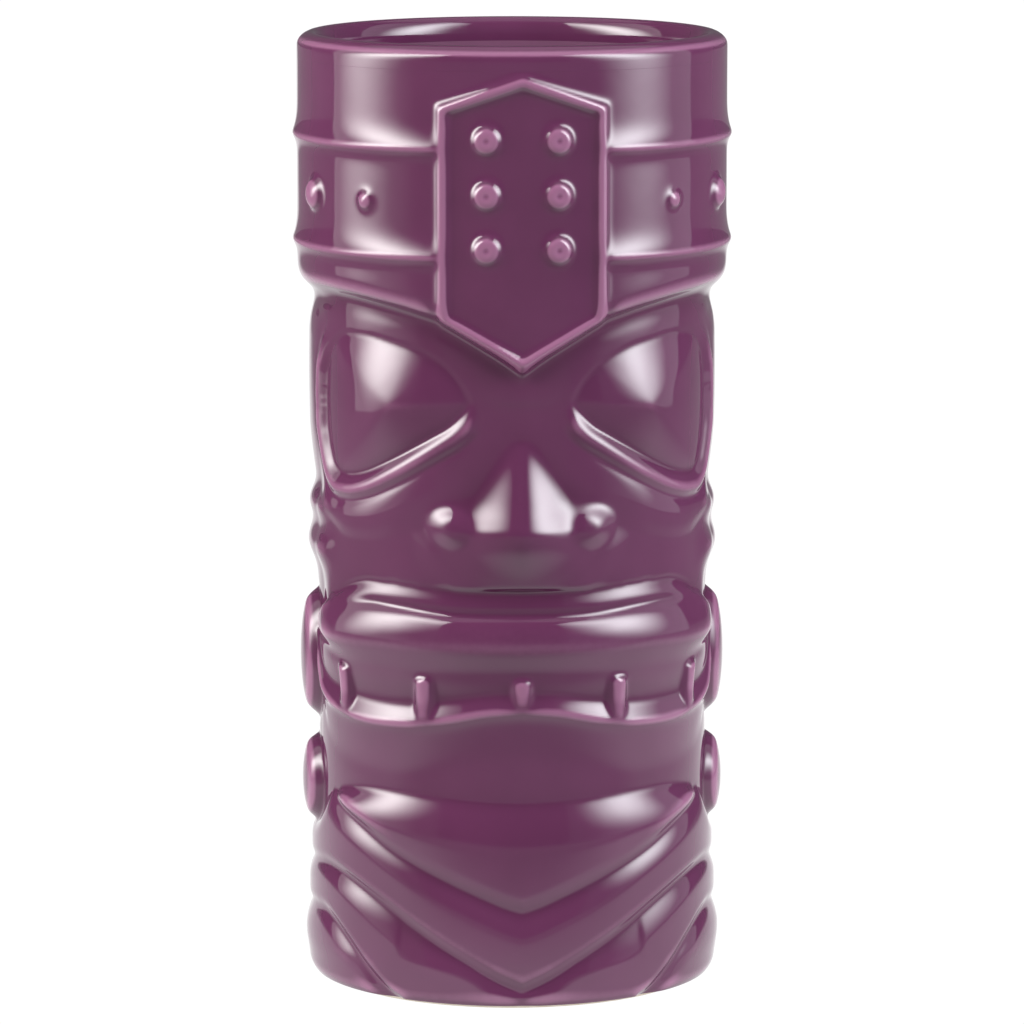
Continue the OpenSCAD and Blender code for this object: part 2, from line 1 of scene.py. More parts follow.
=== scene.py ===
import math
import bpy
import numpy as np
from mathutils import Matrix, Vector


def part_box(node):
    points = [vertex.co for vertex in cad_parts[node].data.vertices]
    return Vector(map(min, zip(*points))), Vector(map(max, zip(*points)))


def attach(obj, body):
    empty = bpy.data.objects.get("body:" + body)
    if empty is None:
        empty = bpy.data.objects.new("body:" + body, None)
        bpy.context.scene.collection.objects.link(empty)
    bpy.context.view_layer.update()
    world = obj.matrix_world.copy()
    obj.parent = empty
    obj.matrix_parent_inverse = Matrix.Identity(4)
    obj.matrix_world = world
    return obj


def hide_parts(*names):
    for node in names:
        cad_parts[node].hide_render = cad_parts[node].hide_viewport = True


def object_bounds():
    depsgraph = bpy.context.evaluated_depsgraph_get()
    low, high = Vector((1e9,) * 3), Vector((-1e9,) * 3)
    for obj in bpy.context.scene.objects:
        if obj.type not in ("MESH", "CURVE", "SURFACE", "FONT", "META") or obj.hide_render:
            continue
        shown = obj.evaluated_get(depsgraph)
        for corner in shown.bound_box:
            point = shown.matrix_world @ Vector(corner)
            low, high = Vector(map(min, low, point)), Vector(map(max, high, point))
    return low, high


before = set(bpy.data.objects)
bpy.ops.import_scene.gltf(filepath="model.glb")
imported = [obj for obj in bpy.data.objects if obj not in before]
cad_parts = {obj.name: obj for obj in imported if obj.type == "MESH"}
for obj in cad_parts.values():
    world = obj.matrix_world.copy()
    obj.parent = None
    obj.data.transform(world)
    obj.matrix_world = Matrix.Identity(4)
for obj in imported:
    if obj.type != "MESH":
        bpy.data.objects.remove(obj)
cadLow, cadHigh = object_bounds()
print("frame loaded:", len(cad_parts), "nodes")

# every size below is in millimetres, or degrees from the middle of the face, on the layout that the carving was
# drawn at; the frame's own boxes scale it
layout = {
    "height": 157.0,
    "crownRadius": 35.35,
    "crownSkin": 35.38,    # the crown with its glaze on
    "faceRadius": 33.4,    # turns degrees of the face into widths
    "perDegree": 0.583,    # width of one degree of the face
    "meanRadius": 34,
    "wallSeat": 31.57,     # where the face's pieces sit on the cup
    "crownSeat": 33.95,    # and the crown's
    "thinnest": 0.3,       # least thickness of a piece
    "angleStep": 0.225,    # between samples of the surface
    "heightStep": 0.2,
    "fineColumns": (374, 1227),  # the face is meshed finely between these samples
    "glazeRound": 0.4,     # how far the glaze rounds every edge
    "sideAngle": 76.0,     # where the face gives way to the back of the head
    "faceEnd": 80,         # where the mouth and the jaw end
}
heightScale = cadHigh.z * 1000 / layout["height"]
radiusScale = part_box("crown_wall")[1].x * 1000 / layout["crownRadius"]
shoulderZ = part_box("crown_hem_left")[1].z * 1000 / heightScale
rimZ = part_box("rim")[0].z * 1000 / heightScale
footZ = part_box("foot_ring")[1].z * 1000 / heightScale


def curve(*points):
    # a smooth line through (place, value) points
    xs, ys = np.array(points, float).T
    slopes = np.gradient(ys, xs)

    def at(x):
        x = np.clip(x, xs[0], xs[-1])
        i = np.clip(np.searchsorted(xs, x, side="right") - 1, 0, len(xs) - 2)
        w = xs[i + 1] - xs[i]
        t = (x - xs[i]) / w
        a = (2 * t**3 - 3 * t**2 + 1) * ys[i] + (t**3 - 2 * t**2 + t) * w * slopes[i]
        return a + (3 * t**2 - 2 * t**3) * ys[i + 1] + (t**3 - t**2) * w * slopes[i + 1]

    return at


def ramp(a, b, x):
    return np.clip((x - a) / (b - a), 0, 1)


def smooth(a, b, x):
    t = ramp(a, b, x)
    return t * t * (3 - 2 * t)


def roll(t, top):
    # sharp at both edges and highest at the share top
    t = np.clip(t, 0, 1)
    return np.where(t < top, np.sin(np.pi / 2 * t / top), np.cos(np.pi / 2 * (t - top) / (1 - top)))


def bump(x, width):
    return np.exp(-((x / width) ** 2))


def quarter(share):
    # rises steeply, then levels out
    return np.sin(np.pi / 2 * share)


def downShare(top, low, z, least=0.1):
    # how far z has come down from top to low
    return ramp(0, 1, (top - z) / np.maximum(top - low, least))


def nearest(points, x, z):
    # distance from every (x, z) to a line of points
    best = np.full(x.shape, 1e9)
    for px, pz in points:
        np.minimum(best, (x - px) ** 2 + (z - pz) ** 2, out=best)
    return np.sqrt(best)


# edges of the carving: the angle from the middle of the face, and the height there
edges = {
    "crown": curve(
        (0, 104.9), (5, 107.3), (10, 109.3), (15, 111.1), (20, 112.7), (30, 114.5), (40, 115.6), (50, 116.3),
        (60, 116.6), (90, 116.6)),
    "eyeTop": curve(
        (14.4, 99.5), (16, 101.6), (20, 104.6), (25, 106.6), (30, 107.9), (40, 109.2), (50, 109.8), (57, 109.5),
        (62, 108.6), (65.5, 106.6), (67.6, 103.8), (68.7, 101), (69, 98.5)),
    "eyeLow": curve(
        (14.4, 99.5), (16, 98.4), (20, 96), (25, 94.1), (30, 92.4), (40, 89.3), (50, 86.9), (57, 86.2),
        (62, 86.7), (65.5, 89), (67.6, 92.3), (68.7, 95.6), (69, 98.5)),
    "lidLow": curve(
        (14.4, 98.5), (20, 93), (30, 88.9), (40, 85.7), (50, 83.3), (60, 82.6), (68, 84.2), (72, 87.5), (76, 92)),
    "cheekLow": curve(
        (0, 76.5), (16, 77.4), (24, 78.9), (30, 78.6), (40, 76.5), (50, 75.6), (58, 75.9), (70, 80.3), (80, 84)),
    "noseTop": curve(
        (0, 93), (2, 91.4), (4, 89.2), (8, 85), (11, 82.9), (14, 82.5), (19, 82.4), (22.5, 81.6), (24.6, 80)),
    "noseLow": curve((0, 77), (8, 77), (16, 77.5), (21, 78.3), (24.6, 80)),
    "muzzleLow": curve((0, 66.4), (8, 67.3), (16, 70), (24, 74.4), (29, 78.8)),
    "lipTop": curve((0, 69.4), (20, 69.4), (40, 70), (50, 69.6), (56, 68.4), (62, 66.4), (70, 63.9), (80, 59.6)),
    "lipCrease": curve((0, 65.3), (20, 65.4), (34, 66), (46, 66.2), (56, 65.8)),
    "lipCrest": curve((0, 60.4), (40, 60.4), (60, 60.1), (70, 60.2), (80, 59.2)),
    "mouthTop": curve((0, 55), (40, 54.9), (55, 55), (62, 56), (70, 57.4), (80, 59)),
    "mouthLow": curve(
        (0, 49.5), (10, 49), (20, 47.8), (30, 46.8), (40, 46.4), (50, 46.5), (60, 47.3), (68, 48.6), (73, 50.6),
        (77, 54), (80, 59)),
    "jawTop": curve((0, 44.6), (30, 43), (60, 43.4), (76, 46), (82, 50)),
    "jawLow": curve((0, 33.8), (60, 33.7), (66, 32.9), (70, 31.4), (76, 28.4), (82, 26.6), (90, 26)),
    "chinCrest": curve(
        (0, 25.7), (10, 26.2), (20, 27), (30, 27.8), (40, 28.7), (50, 30), (60, 31.6), (68, 32.4)),
    "beardOne": curve(
        (0, 16.4), (5, 17.3), (10, 18.5), (20, 20.9), (30, 23.3), (40, 25.8), (50, 28.6), (60, 31), (68, 32.4),
        (72, 30.6), (76, 28.4), (82, 26.6), (90, 26)),
    "beardTwo": curve(
        (0, 3.2), (5, 4.6), (10, 6.2), (20, 9.4), (30, 12.7), (40, 15.9), (50, 18.4), (60, 20), (68, 20.5),
        (76, 20.2), (90, 19.4)),
    "beardThree": curve(
        (36, 0), (40, 1.6), (44, 3.4), (50, 6.6), (56, 9.3), (62, 11.4), (68, 12.6), (76, 12.6), (90, 11.9)),
}
# the bare outline of the face, from low to high: (height, radius)
sideProfile = curve(
    (24, 33.1), (26, 32.5), (28, 32.25), (41, 32.13), (67, 32.19), (69.7, 32.35), (76.6, 32.6), (81, 32.42),
    (83.5, 32.42), (86, 32.75), (89, 33.12), (92.5, 33.43), (95, 33.5), (106, 33.53), (108.5, 33.48),
    (110.5, 33.24), (112.3, 32.82), (113.8, 32.62))


eye = {"inner": 14.4, "outer": 69, "tipAngle": 37.0, "tipZ": 98.8, "edge": 32.95, "out": 2.35, "cone": 1.25,
       "lidWidth": 3.9, "lidOut": 0.78, "lidGroove": 0.15, "bridge": 33.25, "cheekOut": 0.45}


def carveEyes(r, side, a, x, z, e):
    # lids ring the eye; the brow, cheek and bridge lie round them
    span = np.linspace(eye["inner"], eye["outer"], 420)
    ring = np.array([(math.radians(p) * layout["faceRadius"], h)
                     for line in ("eyeTop", "eyeLow") for p, h in zip(span, edges[line](span))])
    near = (a < 82) & (z > 76) & (z < 118)
    away = np.full(a.shape, 99.0)
    away[near] = nearest(ring, x[near], z[near])
    inEye = (a > eye["inner"]) & (a < eye["outer"]) & (z < e["eyeTop"]) & (z > e["eyeLow"])
    bridge = eye["bridge"] - 0.3 * bump(z - 98, 9) * bump(a, 16)
    r = np.where(a < 78, side * smooth(66, 78, a) + bridge * smooth(78, 66, a), r)
    cheek = np.sin(np.pi * downShare(e["lidLow"] + 0.6, e["cheekLow"], z, 1)) ** 1.2
    r = r + eye["cheekOut"] * cheek * smooth(14, 40, a) * smooth(78, 62, a)
    strong = np.maximum(smooth(103, 94, z), 0.85 * smooth(62, 68, a) * smooth(110, 103, z))
    lid = eye["lidOut"] * roll(away / eye["lidWidth"], 0.6) * smooth(11.5, 15, a) * (0.2 + 0.8 * strong)
    groove = eye["lidGroove"] * bump(away - eye["lidWidth"] - 0.1, 0.5) + 0.3 * np.exp(-away / 0.9)
    r = np.where(inEye, r, r + (lid - groove * smooth(12, 15, a) * strong))

    # the eyeball is a soft cone with its tip towards the outer side
    tipX, tipZ = math.radians(eye["tipAngle"]) * layout["faceRadius"], eye["tipZ"]
    spokes = np.arctan2(ring[:, 1] - tipZ, ring[:, 0] - tipX)
    order = np.argsort(spokes)
    lengths = np.hypot(ring[:, 1] - tipZ, ring[:, 0] - tipX)
    toEdge = np.interp(np.arctan2(z - tipZ, x - tipX), spokes[order], lengths[order], period=2 * np.pi)
    share = np.hypot(z - tipZ, x - tipX) / toEdge
    return np.where(inEye, eye["edge"] + eye["out"] * (1 - np.clip(share, 0, 1) ** eye["cone"]), r)


overhang = {
    "valley": 32.62, "calmTo": 33.14,
    "section": curve(  # from the crown's lower edge: (height, radius)
        (-7.4, 33.45), (-6.1, 33.24), (-4.4, 32.82), (-2.8, 32.62), (-2.1, 32.74), (-1.4, 33.1), (-0.8, 33.75),
        (-0.1, 34.5), (0.6, 34.95), (1.9, 35.3), (3.4, 35.38)),
}


def carveOverhang(r, a, z, e):
    # the brow runs up under the crown's edge
    d = z - e["crown"]
    r = np.where(d > -2.8, overhang["section"](d), r)
    blendDown = smooth(-4.6, -2.6, d)
    r = np.where((d <= -2.8) & (d > -4.6), overhang["valley"] * blendDown + r * (1 - blendDown), r)
    calm = 0.85 * smooth(76, 60, a) * smooth(0.4, -1.7, d) * smooth(-10, -7, d)
    return r + calm * (overhang["calmTo"] - r) * (z > e["eyeTop"] - (a > eye["outer"]) * 4)


nose = {"top": 93.2, "base": 79, "out": 4.55, "crest": 1.4, "spread": 8.8, "wingOut": 1.7, "wingX": 10.8,
        "wingZ": 79.3, "wingSize": (6.0, 4.3), "saddleOut": 1.2, "melt": 2.4}


def carveNose(r, x, z):
    # a narrow ridge that widens downwards and melts into a wing at each side
    t = ramp(nose["top"], nose["base"], z)
    half = nose["crest"] + nose["spread"] * t
    flat = np.clip(1 - (np.hypot(x, 1.0) - 1.0) / half, 0, 1)
    ridge = nose["out"] * t * (0.6 * flat + 0.4 * smooth(half, 0, x)) * smooth(68.5, 80.2, z)
    wide, tall = nose["wingSize"]
    tilt = 0.08 * (x - 9.6)
    wing = nose["wingOut"] * smooth(1, 0.1, np.hypot((x - nose["wingX"]) / wide, (z - nose["wingZ"] - tilt) / tall))
    saddle = nose["saddleOut"] * smooth(13.5, 5, x) * smooth(73, 79, z) * smooth(85, 79.5, z)
    m = nose["melt"]
    return r + (ridge**m + wing**m + saddle**m) ** (1 / m)


muzzle = {"z": 79, "size": (17.2, 12.8), "out": 0.5, "innerOut": 0.25}


def carveMuzzle(r, x, z):
    # a soft round swelling under the nose, with a fainter one inside it
    wide, tall = muzzle["size"]
    ring = np.hypot(x / wide, (z - muzzle["z"]) / tall)
    swelling = muzzle["out"] * smooth(1.14, 0.86, ring) + muzzle["innerOut"] * smooth(0.84, 0.64, ring)
    return r + swelling * smooth(80.5, 75, z)


lips = {"upper": 33.1, "firstOut": 0.8, "mainOut": 1.55, "crease": 0.42, "fall": 1.72, "lower": 32.3,
        "edgeOut": 0.95, "lowerOut": 0.8, "jaw": 32.2}


def carveUpperLip(r, side, a, z, e, lean):
    # a thin roll, a crease, then the main roll
    inLip = (z < e["lipTop"]) & (z > e["mouthTop"]) & (a < layout["faceEnd"])
    first = smooth(0, 1, (e["lipTop"] - z) / np.maximum(e["lipTop"] - e["lipCrease"], 0.1))
    second = quarter(downShare(e["lipCrease"], e["lipCrest"], z))
    crease = lips["crease"] * bump(z - e["lipCrease"], 0.75) * smooth(54, 44, a)
    fall = smooth(0, 1, downShare(e["lipCrest"], e["mouthTop"], z))
    lip = lips["upper"] + lips["firstOut"] * first * lean + lips["mainOut"] * second * lean - crease
    lip = lip - lips["fall"] * fall * lean - 0.12 * bump(z - e["lipTop"], 0.8) * lean
    return np.where(inLip, np.where(a > 74, lip * smooth(80, 74, a) + side * smooth(74, 80, a), lip), r)


teeth = {"bars": (0, 28, 57), "barWidth": 3.7, "barOut": 1.2, "floor": 32.9, "rootOut": 0.83, "ledgeOut": 1.15}


def carveTeeth(r, a, z, e, lean):
    inTeeth = (z <= e["mouthTop"]) & (z > e["mouthLow"] - 0.01) & (a < layout["faceEnd"])
    ledge = ramp(3.2, 0.2, z - e["mouthLow"])
    floorR = teeth["floor"] + teeth["rootOut"] * smooth(50.5, 55.6, z) * lean + teeth["ledgeOut"] * ledge
    tall = smooth(-0.6, 0.9, e["mouthTop"] - z) * smooth(0, 1.2, z - e["mouthLow"])
    barOut = teeth["barOut"] + 0.5 * ramp(50, 55, z)
    for bar in teeth["bars"]:
        across = np.abs(a - bar) * layout["perDegree"]
        bulge = np.sqrt(np.clip(1 - (across / (teeth["barWidth"] / 2)) ** 2, 0, 1))
        floorR = np.maximum(floorR, teeth["floor"] + barOut * bulge * tall)
    return np.where(inTeeth, floorR, r)


chin = {"base": 32.35, "out": 1.65, "below": 0.35, "foot": 0.5, "end": 68}


def carveJaw(r, side, a, z, e):
    # the lower lip and jaw, then the chin
    inLower = (z <= e["mouthLow"]) & (z > e["jawLow"]) & (a < layout["faceEnd"])
    drop = e["mouthLow"] - z
    edge = lips["edgeOut"] * np.exp(-drop / 0.9) + lips["lowerOut"] * smooth(8.5, 0, drop)
    lower = lips["lower"] + edge * smooth(82, 72, a)
    outer = lower * smooth(80, 72, a) + np.maximum(side, lips["jaw"]) * smooth(72, 80, a)
    r = np.where(inLower, np.where(a > 72, outer, lower), r)
    inChin = (z <= e["jawLow"]) & (z > e["beardOne"]) & (a < chin["end"])
    rise = quarter(downShare(e["jawLow"], e["chinCrest"], z, 0.3)) * smooth(70, 56, a) ** 0.5
    below = downShare(e["chinCrest"], e["beardOne"], z, 0.3)
    foot = smooth(2.2, 0, z - e["beardOne"])
    return np.where(inChin, chin["base"] + chin["out"] * rise - chin["below"] * below - chin["foot"] * foot, r)


beard = {
    # radius at the top, peak and low edge of a row at the back of the head, then what each gains at the front
    "upper": ((32.45, 33.42, 32.95), (0.45, 0.62, 0.3)),
    "middle": ((32.95, 33.82, 33.3), (0.15, 0.5, 0.3)),
    "lowest": (33.37, 1.06, 4.4),    # radius at the top, rise, and height of the rise
    "lowestStart": 36, "rise": 0.42, "drop": 1.9,
    "tuck": 0.55, "footRound": 2.2,
}


def beardRow(z, top, low, row, gone):
    topR, peakR, lowR = (back + more * gone for back, more in zip(*beard[row]))
    share = (top - z) / np.maximum(top - low, 0.01)
    r = topR + (peakR - topR) * quarter(np.clip(share / beard["rise"], 0, 1))
    return r + (lowR - peakR) * smooth(beard["drop"], 0, z - low)


def carveBeard(r, a, z, e):
    # rows of feathers, which run on round the back of the head
    gone = smooth(84, 50, a)
    r = np.where(z <= e["beardOne"], beardRow(z, e["beardOne"], e["beardTwo"], "upper", gone), r)
    lowEdge = np.where(a < beard["lowestStart"], -6, e["beardThree"])
    r = np.where(z <= e["beardTwo"], beardRow(z, e["beardTwo"], lowEdge, "middle", gone), r)
    top, out, high = beard["lowest"]
    lowest = top + out * quarter(ramp(0, 1, (e["beardThree"] - z) / high))
    r = np.where((z <= e["beardThree"]) & (a >= beard["lowestStart"]), lowest, r)
    return r - beard["tuck"] * smooth(7.4, 2.2, z) - beard["footRound"] * ramp(3.2, -0.4, z) ** 2.4


ears = {
    # angle, height, half width, half height and how far it stands out
    "plug": (92.0, 53.9, 7.75, 10.6, 3.0),
    "drop": (90.6, 32.8, 7.2, 7.2, 2.75),
    "rolls": ((79.8, 2.3, 1.1), (73.0, 3.0, 1.25)),    # height, width, out
    "base": 32.2, "moat": 0.15, "rollEnd": 118,
}


def carveEars(r, a, z):
    # two rolls, an upright plug and a round drop
    for height, width, out in ears["rolls"]:
        r = r + out * bump(z - height, width) * smooth(60, 74, a) * smooth(122, 108, a)
    for angleAt, height, wide, tall, out in (ears["plug"], ears["drop"]):
        t = ((a - angleAt) * layout["perDegree"] / wide) ** 2 + ((z - height) / tall) ** 2
        dome = 0.25 * smooth(1.0, 0.82, np.sqrt(t)) + 0.75 * np.sqrt(np.clip(1 - t, 0, 1))
        moat = ears["moat"] * bump(np.sqrt(t) - 1.06, 0.07)
        r = np.where(t < 1, np.maximum(ears["base"] + out * dome, r - 1.0), r - moat)
    return r


plaque = {"halfAngle": 21.0, "top": 151.3, "topSide": 146.8, "bottomSide": 112.9, "bottom": 105.9,
          "frameWidth": 0.95, "frameOut": 0.85, "sink": 0.3, "studAngle": 9.4, "studRows": (124.5, 133.2, 142.0),
          "studRadius": 2.35, "studDimple": 0.6}
headband = {"ridges": (140.4, 123.0), "studZ": 131.7, "large": (67, 113), "small": (44.4, 135.6),
            "largeRadius": 2.7, "smallRadius": 1.5, "studRise": 0.55}


def plaqueDistance(x, z):
    # signed distance from the frame's middle line, below zero inside
    half = math.radians(plaque["halfAngle"]) * layout["crownRadius"]
    up = Vector((half, plaque["topSide"] - plaque["top"])).normalized()
    down = Vector((half, plaque["bottomSide"] - plaque["bottom"])).normalized()
    top = (z - plaque["top"]) * up.x - x * up.y
    low = -(z - plaque["bottom"]) * down.x + x * down.y
    return np.maximum(np.maximum(x - half, top), low)


def fromStud(x, z, angleAt, height):
    return np.hypot(x - math.radians(angleAt) * layout["crownRadius"], z - height)


def stud(distance, radius, dimple=0.0):
    # a dome with a faint ring of glaze round its foot
    t = np.clip(distance / radius, 0, 1)
    dome = radius * headband["studRise"] * np.sqrt(1 - t**2) - dimple * bump(distance, 0.75)
    return np.where(distance < radius + 1.5, dome + 0.1 * bump(distance - radius - 0.35, 0.35), 0)


def carveCrown(r, a, z, e):
    # the crown, its ridges and studs, and the plaque
    r = np.where(z - e["crown"] > 3.4, layout["crownSkin"], r)
    x = np.radians(a) * layout["crownRadius"]
    inside = plaqueDistance(x, z)
    for height in headband["ridges"]:
        above, under = np.maximum(z - height, 0), np.maximum(height - z, 0)
        ridge = 0.42 * bump(above, 2.6) * bump(under, 1.4) + 0.55 * np.exp(-above / 0.8 - under / 0.45)
        r = r + ridge * smooth(0.4, 1.6, inside)
    for size in ("large", "small"):
        for angleAt in headband[size]:
            r = r + stud(fromStud(x, z, angleAt, headband["studZ"]), headband[size + "Radius"])
    r = np.where(inside < 0, layout["crownSkin"] - plaque["sink"] * smooth(-0.3, -1.2, inside), r)
    r = r + plaque["frameOut"] * np.exp(-np.abs(inside / plaque["frameWidth"]) ** 2.6) * (z > 100)
    for height in plaque["studRows"]:
        off = fromStud(x, z, plaque["studAngle"], height)
        r = r + stud(off, plaque["studRadius"], plaque["studDimple"])
    return r


def carve(angle, z):
    # the outside radius at every angle and height
    a = np.abs(angle)
    e = {name: line(a) for name, line in edges.items()}
    x = np.radians(a) * layout["faceRadius"]
    side = sideProfile(z)
    lean = smooth(80, 62, a)
    r = carveEyes(side.copy(), side, a, x, z, e)
    r = carveOverhang(r, a, z, e)
    r = carveNose(r, x, z)
    r = carveMuzzle(r, x, z)
    r = carveUpperLip(r, side, a, z, e, lean)
    r = carveTeeth(r, a, z, e, lean)
    r = carveJaw(r, side, a, z, e)
    r = carveBeard(r, a, z, e)
    r = carveEars(r, a, z)
    return carveCrown(r, a, z, e)


def blurAlong(field, sigma, axis, around):
    n = max(1, int(math.ceil(sigma * 3)))
    weights = np.exp(-0.5 * (np.arange(-n, n + 1) / sigma) ** 2)
    weights /= weights.sum()
    pad = [(0, 0), (0, 0)]
    pad[axis] = (n, n)
    wide = np.pad(field, pad, mode="wrap" if around else "edge")
    out = np.zeros_like(field)
    for k, w in enumerate(weights):
        out += w * (wide[k:k + field.shape[0]] if axis == 0 else wide[:, k:k + field.shape[1]])
    return out


def soften(field, millimetres):
    across = millimetres / (math.radians(layout["angleStep"]) * layout["meanRadius"])
    return blurAlong(blurAlong(field, across, 1, True), millimetres / layout["heightStep"], 0, False)


# what stands out sharply breaks pink, and what lies back broadly holds pooled glaze
relief = {"fineReach": 1.3, "broadReach": 4.0, "noseCalm": 0.8, "noseZ": 84, "noseSize": (29, 12)}

columns = int(round(360 / layout["angleStep"]))
sampleAngles = -180 + np.arange(columns) * layout["angleStep"]
sampleHeights = np.arange(0, layout["height"] + 0.01, layout["heightStep"])
angleGrid, heightGrid = np.meshgrid(sampleAngles, sampleHeights)
radius = soften(carve(angleGrid, heightGrid), layout["glazeRound"])
calmWide, calmTall = relief["noseSize"]
noseArea = smooth(1.3, 0.8, np.hypot(angleGrid / calmWide, (heightGrid - relief["noseZ"]) / calmTall))
fine = (radius - soften(radius, relief["fineReach"])) * (1 - relief["noseCalm"] * noseArea)
broad = radius - soften(radius, relief["broadReach"])
print("surface carved:", radius.shape, round(float(radius.min()), 2), round(float(radius.max()), 2))
slopeZ = np.gradient(radius, layout["heightStep"], axis=0)
wrapped = np.concatenate([radius[:, -1:], radius, radius[:, :1]], axis=1)
slopeA = (wrapped[:, 2:] - wrapped[:, :-2]) / (2 * math.radians(layout["angleStep"]))

fineFrom, fineTo = layout["fineColumns"]
pickColumns = np.concatenate(
    [np.arange(0, fineFrom, 4), np.arange(fineFrom, fineTo, 2), np.arange(fineTo, columns, 4)])
firstRow = int(round(footZ / layout["heightStep"]))
lastRow = int(round(rimZ / layout["heightStep"]))
pickRows = np.unique(np.concatenate([np.arange(firstRow, lastRow, 2), [lastRow]]))
meshAngles = sampleAngles[pickColumns]
meshHeights = sampleHeights[pickRows]


def place(angleDeg, r, z):
    # a point in metres from an angle, a radius and a height in layout millimetres
    t = np.radians(angleDeg)
    return np.stack([r * np.sin(t), -r * np.cos(t), np.broadcast_to(z, np.shape(r)) * heightScale], -1) * 0.001


def meshField(field):
    return field[np.ix_(pickRows, pickColumns)]


meshA, meshZ = np.meshgrid(meshAngles, meshHeights)
meshR = meshField(radius)
seat = np.where(meshZ < shoulderZ - 0.01, layout["wallSeat"], layout["crownSeat"])
outerPoints = place(meshA, meshR * radiusScale, meshZ).reshape(-1, 3)
innerPoints = place(meshA, np.minimum(seat, meshR - layout["thinnest"]) * radiusScale, meshZ).reshape(-1, 3)
turned = np.radians(meshA)
outward = np.stack([np.sin(turned), -np.cos(turned), np.zeros_like(turned)], -1)
sideways = np.stack([np.cos(turned), np.sin(turned), np.zeros_like(turned)], -1)
normals = outward - (meshField(slopeA) / meshR)[..., None] * sideways
normals[..., 2] -= meshField(slopeZ)
normals /= np.linalg.norm(normals, axis=-1, keepdims=True)


def labels(angle, z):
    # which piece each cell of the surface belongs to; later lines win
    a = np.abs(angle)
    e = {name: line(a) for name, line in edges.items()}
    side = np.where(angle > 0, "Right", "Left")
    out = np.full(a.shape, "headBack", dtype=object)

    def put(mask, name, sided=False):
        out[mask] = np.char.add(name, side)[mask] if sided else name

    face = a < layout["sideAngle"]
    front = a < layout["faceEnd"]
    put(z <= e["beardOne"], "napeUpper")
    put(z <= e["beardTwo"], "napeMiddle")
    put(z <= e["beardThree"], "napeLower")
    put(face, "jowl", True)
    put(face & (z > e["muzzleLow"]) & (a < 29) & (z < e["noseLow"]), "muzzle")
    put(face & (z > e["cheekLow"]), "cheek", True)
    put(face & (z > e["lidLow"]) & (a > eye["inner"]), "lowerLid", True)
    browLow = np.where(a < eye["inner"], 99.4, np.where(a > eye["outer"], 98.5, e["eyeTop"]))
    put(face & (z > browLow), "brow")
    put((a > eye["inner"]) & (a < eye["outer"]) & (z < e["eyeTop"]) & (z > e["eyeLow"]), "eye", True)
    put((a < 24.6) & (z < e["noseTop"]) & (z > e["noseLow"]), "nose")
    put(front & (z < e["lipTop"]) & (z > e["mouthTop"]), "upperLip")
    put(front & (z <= e["mouthTop"]), "teeth")
    for bar in teeth["bars"]:
        onBar = np.abs(a - bar) * layout["perDegree"] < teeth["barWidth"] / 2 + 0.2
        put(onBar & (z <= e["mouthTop"] - 0.3) & (z > e["mouthLow"] + 0.3), "toothBars")
    put(front & (z <= e["mouthLow"]), "lowerLip")
    put(front & (z <= e["jawTop"]), "jaw")
    put((a < chin["end"]) & (z <= e["jawLow"]), "chin")
    put(face & (z <= e["beardOne"]), "beardUpper")
    put(face & (z <= e["beardTwo"]), "beardMiddle")
    put(face & (z <= e["beardThree"]) & (a > beard["lowestStart"]), "beardLower", True)
    put(~face & (z > 40) & (out == "jaw"), "headBack")
    for height, width, rise in ears["rolls"]:
        onRoll = (a > layout["sideAngle"]) & (a < ears["rollEnd"]) & (np.abs(z - height) < width * 1.5)
        put(onRoll, "earRolls", True)
    for name, spec in (("earPlug", ears["plug"]), ("earDrop", ears["drop"])):
        angleAt, height, wide, tall, rise = spec
        put(((a - angleAt) * layout["perDegree"] / wide) ** 2 + ((z - height) / tall) ** 2 < 1.04, name, True)
    put(z > e["crown"], "crownHem", True)
    put((z > e["crown"]) & ((z > shoulderZ) | (a > layout["sideAngle"])), "crownWall")
    for height, name in zip(headband["ridges"], ("upperRidge", "lowerRidge")):
        put(np.abs(z - height) < 3, name)
    x = np.radians(a) * layout["crownRadius"]
    for size in ("large", "small"):
        for angleAt in headband[size]:
            put(fromStud(x, z, angleAt, headband["studZ"]) < headband[size + "Radius"] + 0.2, size + "Studs")
    inside = plaqueDistance(x, z)
    put(inside < 0.9, "plaqueFrame")
    put(inside < -0.9, "plaquePanel")
    for height in plaque["studRows"]:
        put(fromStud(x, z, plaque["studAngle"], height) < plaque["studRadius"] + 0.3, "plaqueStuds")
    put(out == "headBack", "headBack", True)
    return out


cellA = (np.append(meshAngles, 180.0)[1:] + meshAngles) / 2
cellZ = (meshHeights[1:] + meshHeights[:-1]) / 2
cellLabels = labels(*np.meshgrid(cellA, cellZ))
around = len(meshAngles)
pointValues = {"fine": meshField(fine).ravel(), "broad": meshField(broad).ravel()}
print("cells:", cellLabels.shape, "pieces:", len(set(cellLabels.ravel())))


